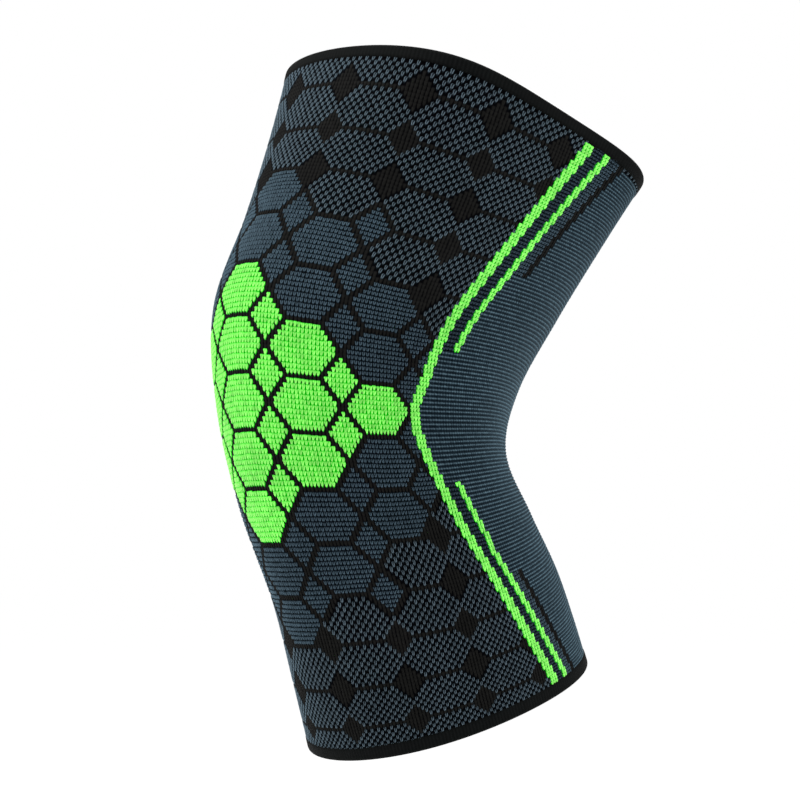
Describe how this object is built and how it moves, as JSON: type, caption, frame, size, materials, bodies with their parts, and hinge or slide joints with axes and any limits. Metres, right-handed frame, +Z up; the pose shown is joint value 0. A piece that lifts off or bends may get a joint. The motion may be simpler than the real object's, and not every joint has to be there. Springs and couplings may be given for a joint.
{
  "type": "knee compression sleeve",
  "caption": "Bent knitted tube that pulls over a leg and grips the knee, with a black welt at each rim, a honeycomb front and a plain ribbed back.",
  "frame": {"origin": "middle of the knee section, inside the tube, where the leg carries the sleeve", "axes": "+Z up along the standing leg, the kneecap faces -Y, X = 0 is the plane of symmetry"},
  "size_m": [0.128, 0.177, 0.2764],
  "materials": {
    "knit": "matt ribbed knit",
    "welt": "matt black knit",
    "green_yarn": "bright green yarn",
    "slate_yarn": "matt slate yarn",
    "black_yarn": "matt black yarn"
  },
  "bodies": {
    "root": {"knit_sleeve": "knit", "top_cuff": "welt", "bottom_cuff": "welt"}
  },
  "joints": []
}
